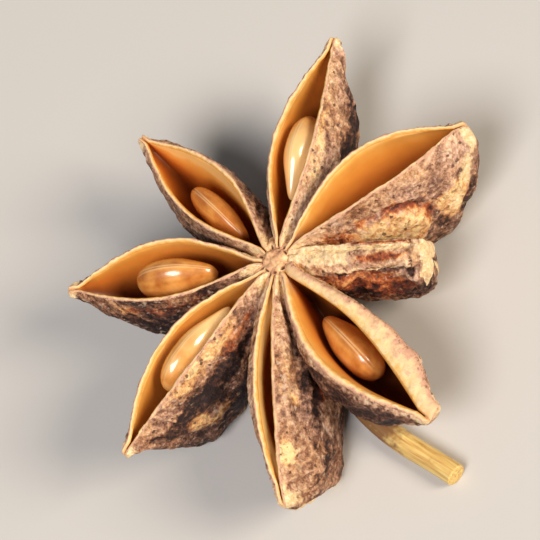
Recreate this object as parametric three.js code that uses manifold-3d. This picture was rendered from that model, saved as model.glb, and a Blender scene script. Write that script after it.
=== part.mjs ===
// A dried star anise pod: eight boat-shaped carpels that grew round one short column and split
// open along their upper seams, with the seeds that still lie in five of them, and the bent
// stalk that leaves the underside. The husk is one piece. Each seed is loose in its own boat.
// Millimetres, +Z up. The pod lies on its keels at z = 0, and the origin is under the middle
// of its box. East is +X and north is +Y in the names of the carpels.
import * as THREE from "three";
import { mergeVertices } from "three/addons/utils/BufferGeometryUtils.js";
import Module from "manifold-3d";

// ---- Driving dimensions ----
const AXIS_X = 0.43; // the star's own axis, from the middle of its box
const AXIS_Y = 1.365;
const LIP_HEIGHT = 8.3; // top of the column, where every lip starts
const ROOT_RADIUS = 0.7; // the boats start this far out from the axis
const NECK_HEIGHT = 3.6; // underside of the boats where they meet the column
const NECK_SHARE = 0.5; // share of a boat's length over which its keel drops from the neck
const WALL = 0.55; // thickness of a dried wall
const LINING_DROP = 0.12; // the lining's edge lies this much below the rim
const RELIEF = 0.13; // height of the broad wrinkles in the skin
const SEAM = 0.06; // half width of a lip seam that has stayed shut
const LENGTH_STEPS = 21; // rings along a boat
const SKIN_STEPS = 9; // points down one side of the skin
const LINING_STEPS = 6; // points down one side of the lining
const GROOVE_STEPS = 3; // points down one side of a shut seam's groove

// What the boats have in common. Each one below changes what it needs.
//   azimuth, reach  direction, and length out from the axis
//   rise, arch      lip height gained at the beak, and at mid-length
//   bow             sideways curve of the boat at mid-length, to its left
//   width, gape     half width of the skin and half opening between the lips, at their widest
//   widest, openest where those are, as a share of the length
//   beakWidth       half width at the beak, as a share of width
//   rimLeft, rimRight  width of the pale broken rim on each side
//   keel            height of the keel's lowest stretch over the ground
//   prow, blunt     share of the length at which the keel turns up, and how late it does so
//   beakDepth       depth of the beak's end
//   beaked          0 for a keel that curves up late, 1 for one that levels off into a beak
//   keelAside       how far to the left of the mouth the keel lies, at full depth
//   hook            how far the tip of the beak turns up
//   fullness        shape of the skin: below 1 square, above 1 sharp
//   pinch           how far a shrivelled boat is pressed together under its seam
//   slump           how far a shut boat's crest leans to the left
const COMMON = {
  rise: 0, arch: 0.5, bow: 0, width: 2.3, gape: 1.5, widest: 0.5, openest: 0.5, beakWidth: 0.14,
  rimLeft: 0.4, rimRight: 0.4, keel: -0.15, prow: 0.6, blunt: 1.6, beakDepth: 1.0, beaked: 0,
  keelAside: 0, hook: 0, fullness: 1.1, pinch: 0, slump: 0, hollow: true,
};

const CARPELS = {
  east: {
    azimuth: -11, reach: 16.0, arch: 0.9, bow: 1.0, width: 2.3, widest: 0.6, beakWidth: 0.34,
    gape: 1.6, openest: 0.55, prow: 0.6, blunt: 2.0, beakDepth: 2.2, fullness: 1.0,
    keelAside: -1.6,
  },
  north_east: {
    azimuth: 34, reach: 16.9, bow: 0.8, width: 2.35, gape: 1.3, keel: 1.2, keelAside: -0.6,
    beaked: 0.9, hook: 0.3, seed: { at: 0.455, down: 2, aside: 0.1, scale: 0.98, long: 1 },
  },
  north: {
    azimuth: 92, reach: 15.2, arch: 0.4, bow: -0.2, width: 2.5, gape: 1.75, prow: 0.55,
    beakDepth: 0.8, keelAside: 0.5, beaked: 0.7, hook: 0.2,
    seed: { at: 0.42, down: 2.05, aside: 0.1, scale: 0.94, long: 1 },
  },
  north_west: {
    azimuth: 139, reach: 15.6, arch: 0.6, bow: -0.3, width: 2.6, gape: 2.0, keel: 0.5,
    prow: 0.5, beakDepth: 0.8, keelAside: 0.8, beaked: 0.7, hook: 0.25,
    seed: { at: 0.47, down: 1.75, aside: -0.1, scale: 1.03, long: 0.96 },
  },
  west: {
    azimuth: 188, reach: 16.8, rise: -0.4, arch: 1.2, bow: -1.0, width: 2.4, widest: 0.47,
    gape: 1.3, prow: 0.66, blunt: 2.1, beakDepth: 0.7, keelAside: 0.6, beaked: 1, hook: 0.3,
    seed: { at: 0.46, down: 1.7, aside: 0, scale: 0.95, long: 1.13 },
  },
  south_west: {
    azimuth: 230, reach: 17.3, rise: -1.0, arch: 0.9, bow: -0.7, width: 2.2, widest: 0.5,
    beakWidth: 0.24, gape: 0.5, prow: 0.7, blunt: 2.6, beakDepth: 1.8, fullness: 0.95,
    keelAside: 1.5, beaked: 0.4,
  },
  south: {
    azimuth: 269, reach: 16.5, rise: -1.0, arch: 0.6, bow: -0.7, width: 2.9, gape: 1.75,
    openest: 0.48, rimLeft: 1.7, keel: 1.2, keelAside: -0.5,
    seed: { at: 0.44, down: 2.8, aside: 0.5, scale: 1, long: 1 },
  },
  south_east: {
    azimuth: 314, reach: 10.8, rise: 0.2, arch: 0.2, width: 2.0, widest: 0.65, beakWidth: 0.55,
    gape: 0.05, rimLeft: 0.3, rimRight: 1.1, keel: 2.0, prow: 0.7, blunt: 3.0, beakDepth: 3.6,
    keelAside: -0.3, pinch: 0.72, slump: 0.45, hollow: false,
  },
};

// Half length, half height and half thickness of a seed, which stands on its edge. Its ends are
// blunter than an ellipse's, and the outer one is a little thicker.
const SEED = { length: 3.15, height: 1.85, thickness: 1.3, egg: 0.1, blunt: 2.6 };
const SEED_SIDES = 16;
const SEED_RINGS = 10;

// The stalk leaves the underside of the column, bends down and lies along the ground.
const STALK_RADIUS = 0.83;
const STALK_SIDES = 10;
const STALK_STEPS = 22;
const STALK_ROUTE = [[0, 0, 4.6], [-0.7, -1.5, 2.5], [-2.2, -5.0, 1.1], [-2.9, -10.1, 0.8], [-1.65, -17.8, 0.8]];

const COLUMN_RADIUS = 1.05; // at the top
const COLUMN_FOOT_RADIUS = 1.5; // where the stalk leaves it
const COLUMN_FOOT = 3.0;
const COLUMN_SIDES = 20;
const CUT_SIZE = 60; // the block that trims the keels flat on the ground

// ---- Curves along a boat; t runs from 0 at the column to 1 at the beak ----
const clamp01 = (value) => Math.min(1, Math.max(0, value));
const quarterSine = (share) => Math.sin((Math.PI / 2) * clamp01(share));
const quarterCosine = (share) => Math.cos((Math.PI / 2) * clamp01(share));

function ease(from, to, value) {
  const share = clamp01((value - from) / (to - from));
  return share * share * (3 - 2 * share);
}

function halfWidth(boat, t) {
  const ROOT_SHARE = 0.2;
  if (t < boat.widest) {
    return boat.width * (ROOT_SHARE + (1 - ROOT_SHARE) * quarterSine(t / boat.widest) ** 1.1);
  }
  const past = (t - boat.widest) / (1 - boat.widest);
  return boat.width * (boat.beakWidth + (1 - boat.beakWidth) * quarterCosine(past));
}

function halfGape(boat, t) {
  const SPLIT_START = 0.045;
  const SPLIT_END = 0.96;
  const opening = quarterSine((t - SPLIT_START) / (boat.openest - SPLIT_START)) ** 1.15;
  const closing = quarterCosine((t - boat.openest) / (SPLIT_END - boat.openest));
  return Math.max(boat.gape * (t < boat.openest ? opening : closing), SEAM);
}

// Distance out, sideways and up of the middle between the lips.
function lipLine(boat, t) {
  return {
    out: ROOT_RADIUS + (boat.reach - ROOT_RADIUS) * t,
    aside: boat.bow * Math.sin(Math.PI * t),
    up: LIP_HEIGHT + boat.rise * t + boat.arch * 4 * t * (1 - t),
  };
}

function keelHeight(boat, t) {
  const drop = (1 - quarterSine(t / NECK_SHARE)) ** 1.2;
  const beak = LIP_HEIGHT + boat.rise - boat.beakDepth;
  const share = clamp01((t - boat.prow) / (1 - boat.prow));
  const turn = share ** boat.blunt * (1 - boat.beaked) + ease(0, 0.95, share ** 1.2) * boat.beaked;
  return boat.keel + (NECK_HEIGHT - boat.keel) * drop + (beak - boat.keel) * turn;
}

// How far a boat leans sideways for each millimetre down, which its neck has no room for.
function leanAt(boat, t) {
  return (boat.keelAside * ease(0, 0.6, t)) / LIP_HEIGHT;
}

function rimWidth(rim, t) {
  return rim * (0.5 + 0.5 * ease(0, 0.2, t) - 0.35 * ease(0.8, 1, t));
}

// Broad wrinkles of the dried skin, the same on every boat but for where they start.
function wrinkle(boat, t, girth) {
  const phase = boat.azimuth / 20;
  const along = t * boat.reach;
  return RELIEF * (
    Math.sin(1.35 * along + 2.2 * girth + phase)
    + 0.8 * Math.sin(2.1 * along - 3.1 * girth + 2 * phase)
    + 0.6 * Math.sin(0.7 * along + 5.2 * girth - phase)
  ) / 1.6;
}

// One side of a wall's cross-section, from the keel up to the lip. x is outwards from the
// boat's middle plane and z is up from the lip.
function wallSide(width, depth, lip, steps, fullness) {
  const widest = Math.max(width, lip);
  const lipAngle = Math.PI - Math.asin(Math.min(1, lip / widest) ** (1 / fullness));
  const points = [];
  for (let i = 0; i < steps; i += 1) {
    const angle = (lipAngle * i) / (steps - 1);
    points.push({
      x: widest * Math.sin(angle) ** fullness,
      z: (-depth * (Math.cos(angle) - Math.cos(lipAngle))) / (1 - Math.cos(lipAngle)),
      angle,
    });
  }
  points[steps - 1].x = lip;
  return points;
}

function pressTogether(points, depth, lip, pinch) {
  for (const point of points) {
    const nearSeam = ease(0.6, 0, -point.z / depth) * pinch;
    point.x += (Math.min(point.x, lip) - point.x) * nearSeam;
  }
}

// The closed outline of the husk across a boat at t: down the right of the skin, up its left,
// over the left rim, down the left of the lining and up its right.
function ring(boat, t) {
  const middle = lipLine(boat, t);
  const gape = halfGape(boat, t);
  const depth = middle.up - keelHeight(boat, t);
  const width = Math.max(halfWidth(boat, t), gape + 0.3);
  const skin = [boat.rimRight, boat.rimLeft].map((rim, side) => {
    const lip = gape + rimWidth(rim, t);
    const points = wallSide(width, depth, lip, SKIN_STEPS, boat.fullness);
    pressTogether(points, depth, lip, boat.pinch);
    points.forEach((point, i) => {
      const girth = (side ? -1 : 1) * point.angle;
      const swell = wrinkle(boat, t, girth) * ease(0, 0.1, t) * Math.sin((Math.PI * (i + 2)) / (SKIN_STEPS + 2));
      point.x += swell * Math.sin(point.angle) * (i > 0 && i < SKIN_STEPS - 1 ? 1 : 0);
      point.z -= swell * Math.max(0, Math.cos(point.angle));
    });
    return points;
  });

  const wall = Math.min(WALL, 0.45 * width);
  const open = ease(0, 0.08, t) * ease(1, 0.94, t);
  const grooveDepth = 0.35;
  const fullDepth = boat.hollow ? Math.max(depth - 1.3 * wall, 0.25 * depth) : grooveDepth;
  const liningDepth = Math.max(fullDepth * open, 0.08);
  const liningWidth = boat.hollow ? gape + Math.max(width - wall - gape, 0) * open : gape;
  const steps = boat.hollow ? LINING_STEPS : GROOVE_STEPS;
  const lining = wallSide(liningWidth, liningDepth, gape, steps, boat.fullness);

  const outline = [];
  const put = (x, z) => {
    const leaning = x + leanAt(boat, t) * z;
    const slump = boat.slump * ease(-2.2, 0, z);
    const lift = boat.hook * ease(0.9, 1, t) ** 2;
    outline.push([leaning - slump, z - 1.2 * slump * ease(-0.3, 1.3, leaning) + lift]);
  };
  skin[0].slice().reverse().forEach((point) => put(point.x, point.z));
  skin[1].slice(1).forEach((point) => put(-point.x, point.z));
  lining.slice().reverse().forEach((point) => put(-point.x, point.z - LINING_DROP));
  lining.slice(1).forEach((point) => put(point.x, point.z - LINING_DROP));

  const azimuth = THREE.MathUtils.degToRad(boat.azimuth);
  const outward = new THREE.Vector3(Math.cos(azimuth), Math.sin(azimuth), 0);
  const leftward = new THREE.Vector3(-Math.sin(azimuth), Math.cos(azimuth), 0);
  return outline.map(([x, z]) => new THREE.Vector3(0, 0, middle.up + z)
    .addScaledVector(outward, middle.out)
    .addScaledVector(leftward, middle.aside - x));
}

// A boat is the skin of its rings, with a fan of faces over each end.
function carpelGeometry(boat) {
  const rings = [];
  for (let i = 0; i < LENGTH_STEPS; i += 1) {
    rings.push(ring(boat, 1 - (1 - i / (LENGTH_STEPS - 1)) ** 1.25));
  }
  const count = rings[0].length;
  const points = rings.flat();
  const faces = [];
  for (let row = 0; row + 1 < rings.length; row += 1) {
    for (let j = 0; j < count; j += 1) {
      const next = (j + 1) % count;
      const [a, b, c, d] = [row * count + j, row * count + next, (row + 1) * count + next, (row + 1) * count + j];
      faces.push(a, b, c, a, c, d);
    }
  }
  for (const [row, flip] of [[0, false], [rings.length - 1, true]]) {
    const keel = rings[row][SKIN_STEPS - 1];
    const seam = rings[row][0].clone().add(rings[row][2 * SKIN_STEPS - 2]).multiplyScalar(0.5);
    const hub = points.push(keel.clone().lerp(seam, 0.5)) - 1;
    for (let j = 0; j < count; j += 1) {
      const [a, b] = [row * count + j, row * count + ((j + 1) % count)];
      faces.push(hub, flip ? a : b, flip ? b : a);
    }
  }
  const geometry = new THREE.BufferGeometry().setFromPoints(points);
  geometry.setIndex(faces);
  return geometry;
}

// ---- Column, stalk and seeds ----
function columnGeometry() {
  const top = LIP_HEIGHT + 0.1;
  const profile = [
    [0, COLUMN_FOOT], [COLUMN_FOOT_RADIUS, COLUMN_FOOT + 0.2], [COLUMN_FOOT_RADIUS, 4.2],
    [COLUMN_RADIUS, 6.0], [COLUMN_RADIUS, top - 0.45], [COLUMN_RADIUS * 0.8, top - 0.12],
    [COLUMN_RADIUS * 0.35, top], [0, top - 0.12],
  ];
  const lathe = new THREE.LatheGeometry(profile.map(([r, z]) => new THREE.Vector2(r, z)), COLUMN_SIDES);
  return lathe.rotateX(Math.PI / 2);
}

function stalkGeometry() {
  const route = new THREE.CatmullRomCurve3(STALK_ROUTE.map((point) => new THREE.Vector3(...point)));
  const section = new THREE.Shape();
  for (let i = 0; i < STALK_SIDES; i += 1) {
    const angle = (2 * Math.PI * i) / STALK_SIDES;
    const radius = STALK_RADIUS * (1 + 0.06 * Math.cos(3 * angle + 1));
    const [x, y] = [radius * Math.cos(angle), radius * Math.sin(angle)];
    if (i) section.lineTo(x, y);
    else section.moveTo(x, y);
  }
  return new THREE.ExtrudeGeometry(section, {
    steps: STALK_STEPS, bevelEnabled: false, extrudePath: route,
  });
}

// A blunt egg-shaped seed, flattened sideways, along the boat's own direction.
function seedMesh(name, boat, material) {
  const geometry = new THREE.SphereGeometry(1, SEED_SIDES, SEED_RINGS);
  geometry.rotateZ(-Math.PI / 2);
  const points = geometry.getAttribute("position");
  for (let i = 0; i < points.count; i += 1) {
    const along = points.getX(i);
    const ellipse = Math.max(1 - along * along, 1e-9);
    const plump = Math.sqrt(Math.max(1 - Math.abs(along) ** SEED.blunt, 0) / ellipse);
    const girth = plump * (1 + SEED.egg * along);
    points.setXYZ(
      i,
      along * SEED.length,
      points.getY(i) * girth * SEED.thickness,
      points.getZ(i) * girth * SEED.height,
    );
  }
  geometry.scale(boat.seed.scale * boat.seed.long, boat.seed.scale, boat.seed.scale);
  const mesh = new THREE.Mesh(geometry, material);
  const middle = lipLine(boat, boat.seed.at);
  const lean = leanAt(boat, boat.seed.at);
  const aside = middle.aside + boat.seed.aside + lean * boat.seed.down;
  mesh.name = name;
  mesh.rotation.x = Math.atan(lean);
  mesh.position.set(middle.out, aside, middle.up - boat.seed.down);
  const arm = new THREE.Group();
  arm.rotation.z = THREE.MathUtils.degToRad(boat.azimuth);
  arm.add(mesh);
  return arm;
}

// ---- Joining ----
const wasm = await Module();
wasm.setup();

function toSolid(geometry) {
  geometry.deleteAttribute("normal");
  geometry.deleteAttribute("uv");
  const merged = mergeVertices(geometry, 1e-4);
  return new wasm.Manifold(new wasm.Mesh({
    numProp: 3,
    vertProperties: new Float32Array(merged.getAttribute("position").array),
    triVerts: new Uint32Array(merged.index.array),
  }));
}

function toGeometry(solid) {
  const mesh = solid.getMesh();
  const geometry = new THREE.BufferGeometry();
  geometry.setAttribute("position", new THREE.BufferAttribute(mesh.vertProperties, 3));
  geometry.setIndex(new THREE.BufferAttribute(mesh.triVerts, 1));
  geometry.computeVertexNormals();
  return geometry;
}

const boats = Object.fromEntries(
  Object.entries(CARPELS).map(([name, sizes]) => [name, { ...COMMON, ...sizes }]),
);
let huskSolid = toSolid(columnGeometry()).add(toSolid(stalkGeometry()));
for (const boat of Object.values(boats)) {
  huskSolid = huskSolid.add(toSolid(carpelGeometry(boat)));
}
const belowGround = new THREE.BoxGeometry(CUT_SIZE, CUT_SIZE, CUT_SIZE).translate(0, 0, -CUT_SIZE / 2);
huskSolid = huskSolid.subtract(toSolid(belowGround));

// ---- The pod ----
const huskMaterial = new THREE.MeshStandardMaterial({ color: 0x8a6049, roughness: 0.85, metalness: 0 });
const seedMaterial = new THREE.MeshStandardMaterial({ color: 0xb8701f, roughness: 0.22, metalness: 0 });

const husk = new THREE.Mesh(toGeometry(huskSolid), huskMaterial);
husk.name = "husk";

const star = new THREE.Group();
star.position.set(AXIS_X, AXIS_Y, 0);
star.add(husk);
for (const [name, boat] of Object.entries(boats)) {
  if (boat.seed) star.add(seedMesh(`seed_${name}`, boat, seedMaterial));
}

const pod = new THREE.Group();
pod.add(star);

export default pod;
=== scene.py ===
import math

import bpy
import numpy as np
from mathutils import Matrix, Vector, noise


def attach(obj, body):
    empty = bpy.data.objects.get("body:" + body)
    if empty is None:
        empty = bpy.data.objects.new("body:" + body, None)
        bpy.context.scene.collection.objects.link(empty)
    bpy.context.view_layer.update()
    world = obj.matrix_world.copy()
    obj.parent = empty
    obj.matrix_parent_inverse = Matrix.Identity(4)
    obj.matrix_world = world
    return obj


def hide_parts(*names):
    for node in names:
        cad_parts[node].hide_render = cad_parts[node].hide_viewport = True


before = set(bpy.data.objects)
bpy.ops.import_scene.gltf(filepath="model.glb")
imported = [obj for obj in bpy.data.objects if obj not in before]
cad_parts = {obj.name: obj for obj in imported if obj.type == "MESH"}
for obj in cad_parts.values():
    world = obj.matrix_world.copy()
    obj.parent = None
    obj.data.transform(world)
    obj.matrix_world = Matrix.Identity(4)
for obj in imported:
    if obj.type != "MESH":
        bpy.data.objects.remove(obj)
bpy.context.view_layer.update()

bpy.ops.object.select_all(action="DESELECT")

# ---- The boats ----
# Eight carpels of the dried fruit. Each is a woody wall folded into a boat, which shrank as it
# dried and split open along its upper seam: wrinkled rind outside, a pale broken edge, and a
# smooth golden lining. They grew round one column, so no two have the same size or opening.

# Lengths are in millimetres. A station is a place along a boat, from 0 at the column to 1 at the
# beak, and a place down a wall runs from 0 at the lip to 1 at the keel.
MM = 0.001
AXIS_X = 0.43  # the star's own axis in the frame
AXIS_Y = 1.365
LIP_HEIGHT = 8.3  # of the lips at the column
ROOT_RADIUS = 0.7  # where a boat starts, out from the axis
NECK_HEIGHT = 3.6  # of a keel at the column
NECK_SHARE = 0.5  # stations along which a keel comes down from its neck
TIP_LENGTH = 0.2  # of the rounding past the last station
WALL = 0.55
LEAST_LINING_DEPTH = 0.08
LINING_DROP = 0.12  # how far the lining's edge lies below the rind's
RIM_CROWN = 0.2  # the most that a broken edge stands up in its middle
SEAM = 0.04  # half the gap where a boat hasn't split
BROAD_RIM = 1.2  # a torn edge wider than this is a broad one
BROAD_RELIEF = 0.13  # of the wall's broad wrinkles
CREASE_RELIEF = 0.14
FOLD_RELIEF = 0.07
RIBBON_HEIGHT = 0.16  # of the thin ribbon along a dried keel
BULGE_CREASE = 0.24  # depth of the crease round a bulge
FLANK = 0.3  # the least that a boat is wider than its mouth, on each side
TEARS, NICKS = 0.09, 0.05  # height of the lips' broad tears and of the fine ones
ROOT_DROP = 0.32  # by which the lips round off at the column
RIGHT, LEFT = 1, -1  # sides of a boat, looking out from the column

# What a boat has unless it says otherwise. Each also has its azimuth in degrees from east, the
# reach of its beak from the axis, the tone of its rind and its stains.
USUAL_BOAT = dict(
    rise=0.0,  # of the lips from the column to the beak
    arch=0.5,  # of the lips between the column and the beak
    bow=0.0,  # of the whole boat to the left
    width=2.3,  # half the breadth
    widest=0.5,  # station
    beak_width=0.14,  # share of the width that is left at the beak
    gape=1.5,  # half the breadth of the mouth
    openest=0.5,  # station
    rim_left=0.34,  # breadth of the broken edge
    rim_right=0.34,
    keel=-0.15,  # height of the lowest part of the keel
    keel_aside=0.0,  # how far the keel lies to the left of the mouth
    prow=0.6,  # station from which the keel turns up to the beak
    blunt=1.6,  # how late it turns up
    beaked=0.0,  # how far it turns up in an S instead, into a slender beak
    beak_depth=1.0,  # below the lips
    hook=0.0,  # lift of the beak's tip
    slimness=1.1,  # 1 is a round section
    pinch=0.0,  # how far the upper wall is drawn in to the lip
    hollow=True,
    shrivel=1.0,  # depth of the creases
    folds=0.2,  # depth of the folds that run along the upper wall
    folds_end=1.0,  # station
    ribbon=0.3,  # how far the keel has dried to a ribbon
    slump=0.0,  # lean of a shut boat's crest to the left
    ledge=0.0,  # overhang of the upper wall
    flange=0.0,  # thickness of the pale plate at the beak
    lining_shade=0.0,  # painted shade on the lining's colour; below 0 it is painted light
    shelf=0.0,  # breadth of the right wall's thick part below the lip
    vee=0.0,  # how far the inside of the right wall slopes straight to the bottom
    knob=0.0,  # of a broad rim, near the beak
    bulges=[])

# Stains of the rind are (kind, side, station, place down, mm along, share of the depth down,
# strength). Bulges are (side, station, place down, mm along, share of the depth down, mm out).
# The dark stains are charred skin and painted shadow; the south boat's is painted shadow along
# its lower right wall.
BOATS = {
    "east": dict(
        azimuth=-11, reach=16.0, arch=0.9, bow=1.0, width=2.3, widest=0.6, beak_width=0.34,
        gape=1.6, openest=0.55, prow=0.6, blunt=2.0, beak_depth=2.2, slimness=1.0, keel_aside=-1.6,
        tone=0.03, ribbon=1.0, bulges=[(RIGHT, 0.42, 0.44, 3.3, 0.25, 0.65)],
        stains=[
            ("ochre", RIGHT, 0.44, 0.44, 2.8, 0.2, 1.9), ("rust", RIGHT, 0.21, 0.3, 1.8, 0.14, 1.7),
            ("ochre", RIGHT, 0.3, 0.3, 1.3, 0.1, 1.2), ("char_and_shade", RIGHT, 0.17, 0.34, 0.6, 0.08, 0.8),
            ("char_and_shade", RIGHT, 0.86, 0.42, 0.5, 0.06, 1.1), ("pale", RIGHT, 0.9, 0.5, 0.9, 0.16, 0.9),
            ("pale", RIGHT, 0.77, 0.58, 1.1, 0.12, 0.65), ("ochre", RIGHT, 0.77, 0.57, 1.4, 0.14, 1.4),
            ("char_and_shade", RIGHT, 0.67, 0.66, 0.7, 0.1, 0.8),
            ("rust", RIGHT, 0.45, 0.56, 3.0, 0.06, 0.7), ("char_and_shade", RIGHT, 0.85, 0.74, 1.6, 0.12, 0.6)]),
    "north_east": dict(
        azimuth=34, reach=16.9, bow=0.8, width=2.35, gape=1.3, keel=1.2, keel_aside=-0.6,
        beaked=0.9, tone=0.06, hook=0.3, stains=[
            ("ochre", RIGHT, 0.5, 0.05, 2.6, 0.1, 0.6), ("char_and_shade", RIGHT, 0.6, 0.52, 4.0, 0.2, 0.9)]),
    "north": dict(
        azimuth=92, reach=15.2, arch=0.4, bow=-0.2, width=2.5, gape=1.75, prow=0.55,
        beak_depth=0.8, keel_aside=0.5, beaked=0.7, tone=-0.04, hook=0.2, lining_shade=-0.16,
        vee=0.85, stains=[("char_and_shade", LEFT, 0.5, 0.4, 3.0, 0.15, 0.35)]),
    "north_west": dict(
        azimuth=139, reach=15.6, arch=0.6, bow=-0.3, width=2.6, gape=2.0, keel=0.5, prow=0.5,
        beak_depth=0.8, keel_aside=0.8, beaked=0.7, tone=-0.12, hook=0.25, lining_shade=0.06, stains=[
            ("ochre", LEFT, 0.72, 0.14, 1.2, 0.1, 0.8), ("rust", LEFT, 0.5, 0.14, 5.0, 0.1, 0.55),
            ("char_and_shade", LEFT, 0.45, 0.45, 4.0, 0.2, 0.7)]),
    "west": dict(
        azimuth=188, reach=16.8, rise=-0.4, arch=1.2, bow=-1.0, width=2.4, widest=0.47, gape=1.3,
        blunt=2.1, prow=0.66, beak_depth=0.7, keel_aside=0.6, beaked=1.0, tone=-0.02, hook=0.3,
        ribbon=0.5, stains=[
            ("ochre", LEFT, 0.5, 0.05, 4.5, 0.08, 0.7), ("char_and_shade", LEFT, 0.53, 0.29, 4.4, 0.1, 1.05),
            ("char_and_shade", LEFT, 0.8, 0.36, 1.3, 0.12, 1.0), ("ochre", LEFT, 0.7, 0.44, 0.9, 0.1, 1.2),
            ("rust", LEFT, 0.3, 0.16, 2.2, 0.1, 0.6), ("ochre", LEFT, 0.62, 0.56, 1.6, 0.08, 0.9),
            ("char_and_shade", LEFT, 0.4, 0.62, 4.0, 0.2, 0.9)]),
    "south_west": dict(
        azimuth=230, reach=17.3, rise=-1.0, arch=0.9, bow=-0.7, width=2.2, widest=0.5,
        beak_width=0.24, gape=0.5, prow=0.7, blunt=2.6, beak_depth=1.8, slimness=0.95,
        keel_aside=1.5, beaked=0.4, tone=0.03, ribbon=1.0, folds=2.6, folds_end=0.62,
        lining_shade=-0.1, shelf=0.5, stains=[
            ("ochre", LEFT, 0.8, 0.05, 0.8, 0.07, 1.4), ("ochre", LEFT, 0.56, 0.12, 0.9, 0.08, 0.7),
            ("rust", LEFT, 0.42, 0.44, 2.4, 0.12, 0.9), ("char_and_shade", LEFT, 0.42, 0.25, 2.8, 0.07, 0.9),
            ("char_and_shade", LEFT, 0.56, 0.33, 3.0, 0.1, 0.75), ("char_and_shade", LEFT, 0.25, 0.5, 2.0, 0.08, 0.8),
            ("char_and_shade", LEFT, 0.78, 0.55, 2.2, 0.1, 0.45)]),
    "south": dict(
        azimuth=269, reach=16.5, rise=-1.0, arch=0.6, bow=-0.7, width=2.9, gape=1.62,
        openest=0.48, rim_left=1.8, rim_right=0.6, keel=1.2, keel_aside=-0.5, tone=0.07, ribbon=0.6,
        lining_shade=0.05, shelf=0.15, vee=0.95, knob=0.22,
        # Its dark stain is painted shadow along the lower right wall.
        stains=[("char_and_shade", RIGHT, 0.6, 0.38, 7.0, 0.25, 2.2)]),
    "south_east": dict(
        azimuth=314, reach=10.8, rise=0.2, arch=0.2, width=2.0, widest=0.65, beak_width=0.55,
        gape=0.04, rim_left=0.3, rim_right=1.1, keel=2.0, prow=0.7, blunt=3.0, beak_depth=3.6,
        pinch=0.72, hollow=False, keel_aside=-0.3, shrivel=1.2, tone=0.03, ribbon=1.4, slump=0.45,
        ledge=0.7, flange=0.1, folds=2.0, stains=[
            ("rust", RIGHT, 0.36, 0.46, 3.8, 0.2, 3.0), ("char_and_shade", RIGHT, 0.88, 0.6, 2.0, 0.24, 1.0),
            ("char_and_shade", RIGHT, 0.45, 0.5, 4.0, 0.25, 0.55)]),
}

ROWS = 190  # rings along a boat
END_ROWS = 6  # more rings that close each end to a point
SKIN_COLUMNS = 64  # points down one side of the rind
RIM_COLUMNS = 8  # points across a broken edge, between rind and lining
LINING_COLUMNS = 26  # points down one side of the lining
KEEL_COLUMN = LINING_COLUMNS + RIM_COLUMNS + SKIN_COLUMNS - 1
RIM_SHARES = np.linspace(0, 1, RIM_COLUMNS + 2)[1:-1]  # from the lining to the rind
SKIN, RIM, LINING = 0, 1, 2


def ease(low, high, value):
    """A smooth step, from 0 where a value is at low to 1 where it is at high."""
    share = np.clip((value - low) / (high - low), 0, 1)
    return share * share * (3 - 2 * share)


def hill(value, middle, spread):
    """A smooth hill, 1 high where a value is at its middle."""
    return np.exp(-((value - middle) / spread) ** 2)


def quarter_sine(share):
    return np.sin(np.pi / 2 * np.clip(share, 0, 1))


def quarter_cosine(share):
    return np.cos(np.pi / 2 * np.clip(share, 0, 1))


def half_width(boat, station):
    """Half the breadth of a boat, which grows out of a narrow root."""
    root_share = 0.2
    up = root_share + (1 - root_share) * quarter_sine(station / boat["widest"]) ** 1.1
    past = (station - boat["widest"]) / (1 - boat["widest"])
    down = boat["beak_width"] + (1 - boat["beak_width"]) * quarter_cosine(past)
    return boat["width"] * np.where(station < boat["widest"], up, down)


def half_gape(boat, station):
    """Half the breadth of the mouth, which is shut at the column and at the beak."""
    split_start, split_end = 0.045, 0.96
    up = quarter_sine((station - split_start) / (boat["openest"] - split_start)) ** 1.15
    down = quarter_cosine((station - boat["openest"]) / (split_end - boat["openest"]))
    return np.maximum(boat["gape"] * np.where(station < boat["openest"], up, down), SEAM)


def lip_line(boat, station):
    """Where the middle of the mouth is: out from the axis, aside to the left, and up."""
    out = ROOT_RADIUS + (boat["reach"] - ROOT_RADIUS) * station
    aside = boat["bow"] * np.sin(np.pi * station)
    up = LIP_HEIGHT + boat["rise"] * station + boat["arch"] * 4 * station * (1 - station)
    return out, aside, up


def keel_height(boat, station):
    """How high the keel lies: down from its neck, along, and up to the beak."""
    keel = boat["keel"]
    drop = (1 - quarter_sine(station / NECK_SHARE)) ** 1.2
    beak = LIP_HEIGHT + boat["rise"] - boat["beak_depth"]
    share = np.clip((station - boat["prow"]) / (1 - boat["prow"]), 0, 1)
    bluntly = share ** boat["blunt"] * (1 - boat["beaked"])
    slenderly = ease(0, 0.95, share ** 1.2) * boat["beaked"]
    return keel + (NECK_HEIGHT - keel) * drop + (beak - keel) * (bluntly + slenderly)


def lean_at(boat, station):
    """How far a boat leans sideways for each millimetre down. Its neck has no room to lean."""
    return boat["keel_aside"] * ease(0, 0.6, station) / LIP_HEIGHT


def rim_width(rim, station):
    """How far a torn edge reaches out from the mouth. A broad one widens slowly to the beak."""
    if rim > BROAD_RIM:
        grown = 0.45 + 0.55 * ease(0.2, 0.72, station)
    else:
        grown = 0.5 + 0.5 * ease(0, 0.2, station)
    return rim * (grown - 0.35 * ease(0.8, 1, station))


def rim_knob(boat, rim, station):
    """A torn knob that sticks out of a broad rim near the beak, with a smaller one past it."""
    knobs = hill(station, 0.77, 0.035) + 0.4 * hill(station, 0.85, 0.03)
    return boat["knob"] * (rim > BROAD_RIM) * knobs


def broad_wrinkle(boat, station, girth):
    """How far the wall swells out, in broad waves that cross each other."""
    phase = boat["azimuth"] / 20
    along = station * boat["reach"]
    return BROAD_RELIEF / 1.6 * (
        np.sin(1.35 * along + 2.2 * girth + phase)
        + 0.8 * np.sin(2.1 * along - 3.1 * girth + 2 * phase)
        + 0.6 * np.sin(0.7 * along + 5.2 * girth - phase))


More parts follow.
